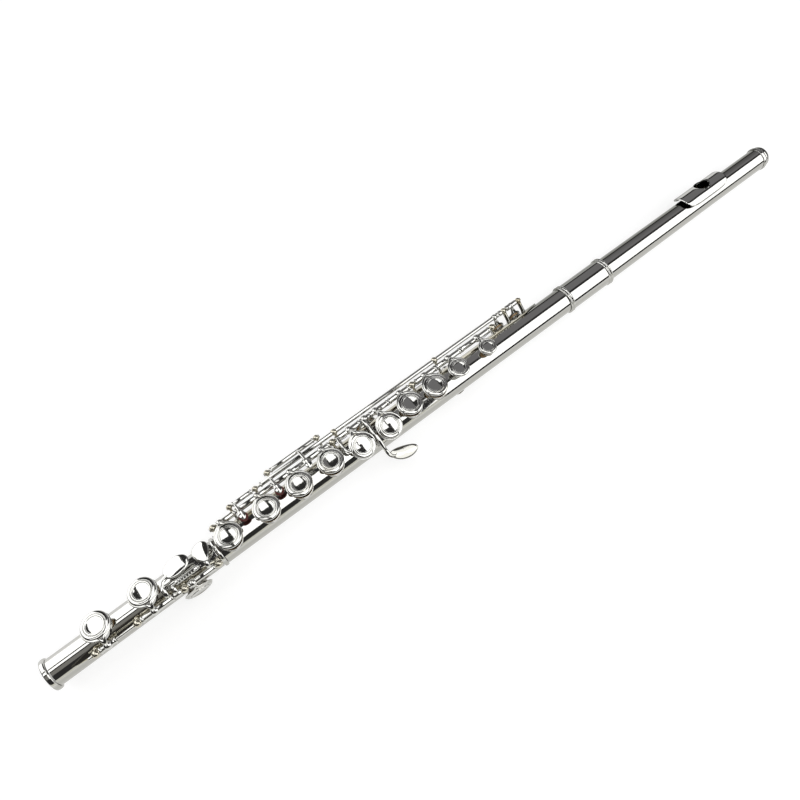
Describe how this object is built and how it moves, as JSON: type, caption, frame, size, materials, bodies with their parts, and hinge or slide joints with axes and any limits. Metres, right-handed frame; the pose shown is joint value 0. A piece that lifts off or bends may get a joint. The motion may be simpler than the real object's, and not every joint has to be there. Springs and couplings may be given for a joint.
{
  "type": "concert flute",
  "caption": "Concert flute in three joints, with closed hole keys, offset G, split E and a low C foot.",
  "frame": {"origin": "middle of the bounding box on the plane of the lowest point, under the middle of the tube", "axes": "+X along the tube from the open foot end to the crown, +Z the way the main keys face, +Y towards the player"},
  "size_m": [0.673, 0.0532, 0.0366],
  "materials": {
    "tube_silver": "bright silver plate, buffed",
    "key_silver": "bright silver plate, polished",
    "rib_silver": "silver plate with soldered joints",
    "steel": "ground and oiled",
    "pad_skin": "gold beater's skin over felt, matt",
    "cork": "raw, waxed",
    "brass": "turned, dull"
  },
  "bodies": {
    "body": {"body_tube": "tube_silver", "body_tenon": "tube_silver", "barrel": "tube_silver", "main_rib": "rib_silver", "thumb_rib": "rib_silver", "right_hand_steel": "steel", "left_hand_steel": "steel", "side_steel": "steel", "thumb_steel": "steel"},
    "foot_joint": {"foot_ring": "tube_silver", "foot_tube": "tube_silver", "foot_rib": "rib_silver"},
    "head_joint": {"head_tube": "tube_silver", "riser": "tube_silver", "lip_plate": "tube_silver", "stopper_cork": "cork", "stopper_screw": "brass", "stopper_nut": "brass"},
    "crown": {"crown": "tube_silver"},
    "low_c": {"low_c_key": "key_silver", "low_c_pad": "pad_skin"},
    "low_c_roller": {"low_c_roller": "key_silver"},
    "low_c_sharp": {"low_c_sharp_key": "key_silver", "low_c_sharp_pad": "pad_skin"},
    "d_sharp": {"d_sharp_key": "key_silver", "d_sharp_pad": "pad_skin"},
    "c": {"c_key": "key_silver", "c_sharp_vent_key": "key_silver", "c_sharp_vent_pad": "pad_skin"},
    "g_sharp": {"g_sharp_key": "key_silver", "g_sharp_pad": "pad_skin"},
    "thumb_b": {"thumb_b_key": "key_silver", "thumb_b_pad": "pad_skin"},
    "thumb_b_flat": {"thumb_b_flat_lever": "key_silver"},
    "side_b_flat": {"side_b_flat_lever": "key_silver"},
    "d_trill": {"d_trill_key": "key_silver", "d_trill_pad": "pad_skin"},
    "d_sharp_trill": {"d_sharp_trill_key": "key_silver", "d_sharp_trill_pad": "pad_skin"},
    "d": {"d_key": "key_silver", "d_pad": "pad_skin"},
    "e": {"e_key": "key_silver", "e_pad": "pad_skin"},
    "f": {"f_key": "key_silver", "f_pad": "pad_skin"},
    "f_sharp": {"f_sharp_key": "key_silver", "f_sharp_pad": "pad_skin"},
    "lower_g": {"lower_g_key": "key_silver", "lower_g_pad": "pad_skin"},
    "upper_g": {"upper_g_key": "key_silver", "upper_g_pad": "pad_skin"},
    "a": {"a_key": "key_silver", "a_pad": "pad_skin"},
    "b_flat": {"b_flat_key": "key_silver", "b_flat_pad": "pad_skin"}
  },
  "joints": [
    {"name": "head_tuning", "type": "slide", "parent": "body", "child": "head_joint", "axis": [1, 0, 0], "range_m": [0, 0.012]},
    {"name": "foot_turn", "type": "hinge", "parent": "body", "child": "foot_joint", "pos_m": [-0.2165, 0.00066, 0.01836], "axis": [1, 0, 0], "range_deg": [-30, 30]},
    {"name": "crown_turn", "type": "hinge", "parent": "head_joint", "child": "crown", "pos_m": [0.3315, 0.00066, 0.01836], "axis": [1, 0, 0], "continuous": true},
    {"name": "low_c_hinge", "type": "hinge", "parent": "foot_joint", "child": "low_c", "pos_m": [-0.2945, -0.0093, 0.03088], "axis": [1, 0, 0], "range_deg": [-9.6, 0], "stiffness_Nm_per_rad": 0.02, "springref_deg": 20.05},
    {"name": "low_c_roller_spin", "type": "hinge", "parent": "low_c", "child": "low_c_roller", "pos_m": [-0.2325, -0.00371, 0.03472], "axis": [1, 0, 0], "continuous": true},
    {"name": "low_c_sharp_hinge", "type": "hinge", "parent": "foot_joint", "child": "low_c_sharp", "pos_m": [-0.2605, -0.0093, 0.03088], "axis": [1, 0, 0], "range_deg": [-9.6, 0], "stiffness_Nm_per_rad": 0.02, "springref_deg": 20.05},
    {"name": "d_sharp_hinge", "type": "hinge", "parent": "foot_joint", "child": "d_sharp", "pos_m": [-0.2295, -0.0093, 0.03088], "axis": [1, 0, 0], "range_deg": [-8, 0], "stiffness_Nm_per_rad": 0.02, "springref_deg": 20.05},
    {"name": "d_hinge", "type": "hinge", "parent": "body", "child": "d", "pos_m": [-0.1965, 0.01368, 0.02765], "axis": [1, 0, 0], "range_deg": [0, 9.6], "stiffness_Nm_per_rad": 0.02, "springref_deg": -20.05},
    {"name": "e_hinge", "type": "hinge", "parent": "body", "child": "e", "pos_m": [-0.1665, 0.01368, 0.02765], "axis": [1, 0, 0], "range_deg": [0, 9.6], "stiffness_Nm_per_rad": 0.02, "springref_deg": -20.05},
    {"name": "f_hinge", "type": "hinge", "parent": "body", "child": "f", "pos_m": [-0.1395, 0.01368, 0.02765], "axis": [1, 0, 0], "range_deg": [0, 9.6], "stiffness_Nm_per_rad": 0.02, "springref_deg": -20.05},
    {"name": "f_sharp_hinge", "type": "hinge", "parent": "body", "child": "f_sharp", "pos_m": [-0.1125, 0.01368, 0.02765], "axis": [1, 0, 0], "range_deg": [0, 9.6], "stiffness_Nm_per_rad": 0.02, "springref_deg": -20.05},
    {"name": "lower_g_hinge", "type": "hinge", "parent": "body", "child": "lower_g", "pos_m": [-0.0885, 0.01368, 0.02765], "axis": [1, 0, 0], "range_deg": [0, 9.6], "stiffness_Nm_per_rad": 0.02, "springref_deg": -20.05},
    {"name": "upper_g_hinge", "type": "hinge", "parent": "body", "child": "upper_g", "pos_m": [-0.0645, 0.01368, 0.02765], "axis": [1, 0, 0], "range_deg": [0, 9.6], "stiffness_Nm_per_rad": 0.02, "springref_deg": -20.05},
    {"name": "a_hinge", "type": "hinge", "parent": "body", "child": "a", "pos_m": [-0.0435, 0.01368, 0.02765], "axis": [1, 0, 0], "range_deg": [0, 9.6], "stiffness_Nm_per_rad": 0.02, "springref_deg": -20.05},
    {"name": "b_flat_hinge", "type": "hinge", "parent": "body", "child": "b_flat", "pos_m": [-0.0205, 0.01368, 0.02765], "axis": [1, 0, 0], "range_deg": [0, 9.6], "stiffness_Nm_per_rad": 0.02, "springref_deg": -20.05},
    {"name": "c_hinge", "type": "hinge", "parent": "body", "child": "c", "pos_m": [0.0135, 0.01368, 0.02765], "axis": [1, 0, 0], "range_deg": [0, 9.6], "stiffness_Nm_per_rad": 0.02, "springref_deg": -20.05},
    {"name": "g_sharp_hinge", "type": "hinge", "parent": "body", "child": "g_sharp", "pos_m": [-0.0745, 0.01368, 0.02765], "axis": [1, 0, 0], "range_deg": [0, 8], "stiffness_Nm_per_rad": 0.02, "springref_deg": -20.05},
    {"name": "thumb_b_hinge", "type": "hinge", "parent": "body", "child": "thumb_b", "pos_m": [0.0015, 0.01352, 0.00919], "axis": [1, 0, 0], "range_deg": [-9.6, 0], "stiffness_Nm_per_rad": 0.02, "springref_deg": 20.05},
    {"name": "thumb_b_flat_hinge", "type": "hinge", "parent": "body", "child": "thumb_b_flat", "pos_m": [-0.0225, 0.01352, 0.00919], "axis": [1, 0, 0], "range_deg": [-6, 0], "stiffness_Nm_per_rad": 0.02, "springref_deg": 20.05},
    {"name": "side_b_flat_hinge", "type": "hinge", "parent": "body", "child": "side_b_flat", "pos_m": [-0.1305, 0.02436, 0.02436], "axis": [1, 0, 0], "range_deg": [0, 6], "stiffness_Nm_per_rad": 0.02, "springref_deg": -20.05},
    {"name": "d_trill_hinge", "type": "hinge", "parent": "body", "child": "d_trill", "pos_m": [-0.0365, 0.01917, 0.02739], "axis": [1, 0, 0], "range_deg": [0, 8], "stiffness_Nm_per_rad": 0.02, "springref_deg": -20.05},
    {"name": "d_sharp_trill_hinge", "type": "hinge", "parent": "body", "child": "d_sharp_trill", "pos_m": [-0.0365, 0.01917, 0.02739], "axis": [1, 0, 0], "range_deg": [0, 8], "stiffness_Nm_per_rad": 0.02, "springref_deg": -20.05}
  ],
  "couplings": [
    {"joint": "f_sharp_hinge", "follows": "f_hinge", "ratio": 1},
    {"joint": "b_flat_hinge", "follows": "a_hinge", "ratio": 1},
    {"joint": "lower_g_hinge", "follows": "upper_g_hinge", "ratio": 1},
    {"joint": "low_c_sharp_hinge", "follows": "low_c_hinge", "ratio": 1}
  ]
}
